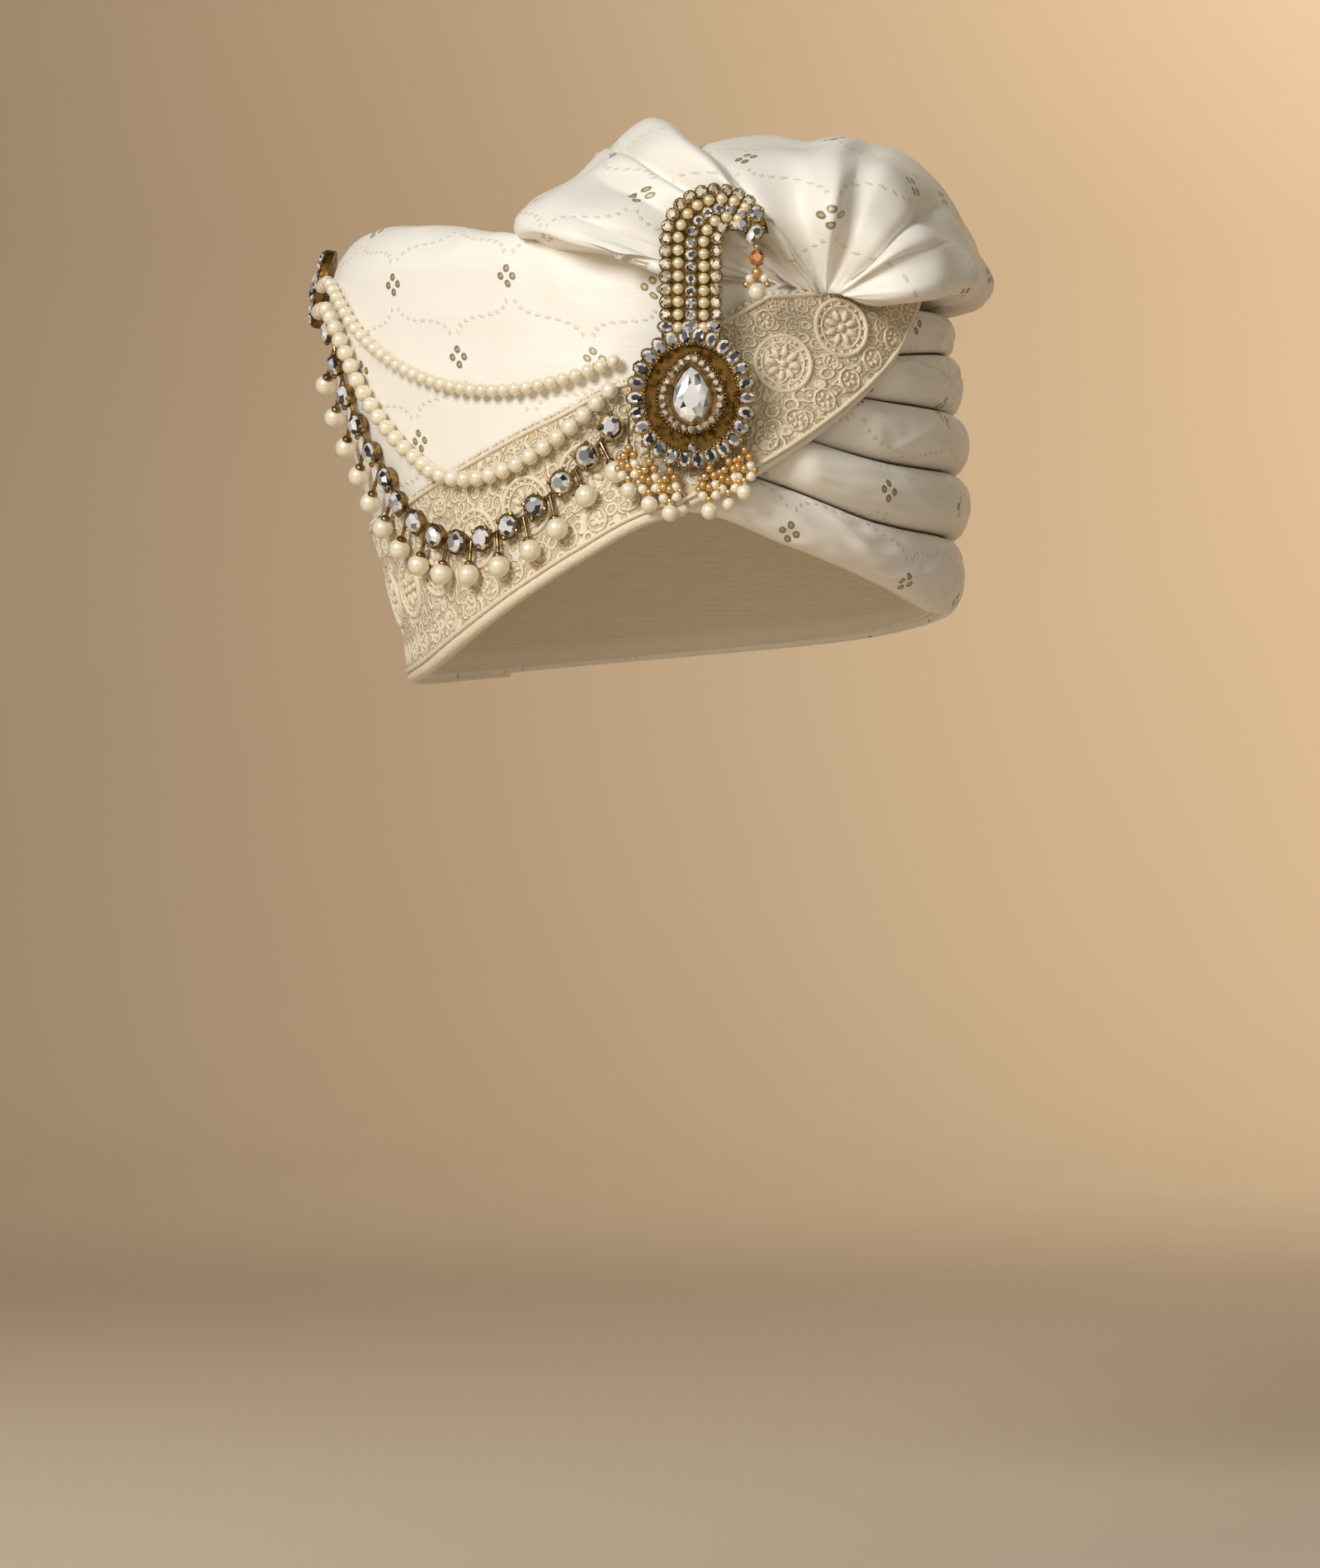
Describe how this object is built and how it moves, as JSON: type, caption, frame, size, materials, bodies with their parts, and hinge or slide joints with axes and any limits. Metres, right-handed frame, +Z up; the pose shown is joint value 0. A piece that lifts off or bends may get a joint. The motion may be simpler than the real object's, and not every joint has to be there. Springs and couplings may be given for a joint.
{
  "type": "tied turban",
  "caption": "Ready-tied ivory turban with a lace-edged front panel, wound side rolls, a gathered crown, a jewelled brooch and strands of pearls and stones.",
  "frame": {"origin": "middle of the head opening, level with the cloth's lower edge at the sides", "axes": "+Z up out of the head, the front faces -Y, +X to the viewer's right seen from the front"},
  "size_m": [0.2135, 0.2266, 0.1707],
  "materials": {
    "ivory_cloth": "satin",
    "lace": "matte",
    "antique_gold": "aged",
    "crystal": "polished",
    "pearl": "pearl lustre"
  },
  "bodies": {
    "root": {"under_wrap": "ivory_cloth", "front_panel": "ivory_cloth", "lace_band": "lace", "crown_puff": "ivory_cloth", "roll_1": "ivory_cloth", "roll_2": "ivory_cloth", "roll_3": "ivory_cloth", "roll_4": "ivory_cloth", "roll_5": "ivory_cloth", "brooch_frame": "antique_gold", "brooch_crystal": "crystal", "brooch_hook_drop": "antique_gold", "fringe_drop_1": "pearl", "fringe_drop_2": "pearl", "fringe_drop_3": "pearl", "fringe_drop_4": "pearl", "fringe_drop_5": "pearl", "fringe_drop_6": "pearl", "side_brooch": "antique_gold", "pearl_strand_upper": "pearl", "pearl_strand_lower": "pearl", "stone_chain": "antique_gold", "chain_stone_01": "crystal", "chain_stone_02": "crystal", "chain_stone_03": "crystal", "chain_stone_04": "crystal", "chain_stone_05": "crystal", "chain_stone_06": "crystal", "chain_stone_07": "crystal", "chain_stone_08": "crystal", "chain_stone_09": "crystal", "chain_stone_10": "crystal", "chain_stone_11": "crystal", "chain_stone_12": "crystal", "chain_stone_13": "crystal", "chain_stone_14": "crystal", "chain_stone_15": "crystal", "chain_stone_16": "crystal", "chain_pearl_01": "pearl", "chain_pearl_02": "pearl", "chain_pearl_03": "pearl", "chain_pearl_04": "pearl", "chain_pearl_05": "pearl", "chain_pearl_06": "pearl", "chain_pearl_07": "pearl", "chain_pearl_08": "pearl", "chain_pearl_09": "pearl", "chain_pearl_10": "pearl", "chain_pearl_11": "pearl", "chain_pearl_12": "pearl", "chain_pearl_13": "pearl", "chain_pearl_14": "pearl", "chain_pearl_15": "pearl"}
  },
  "joints": []
}
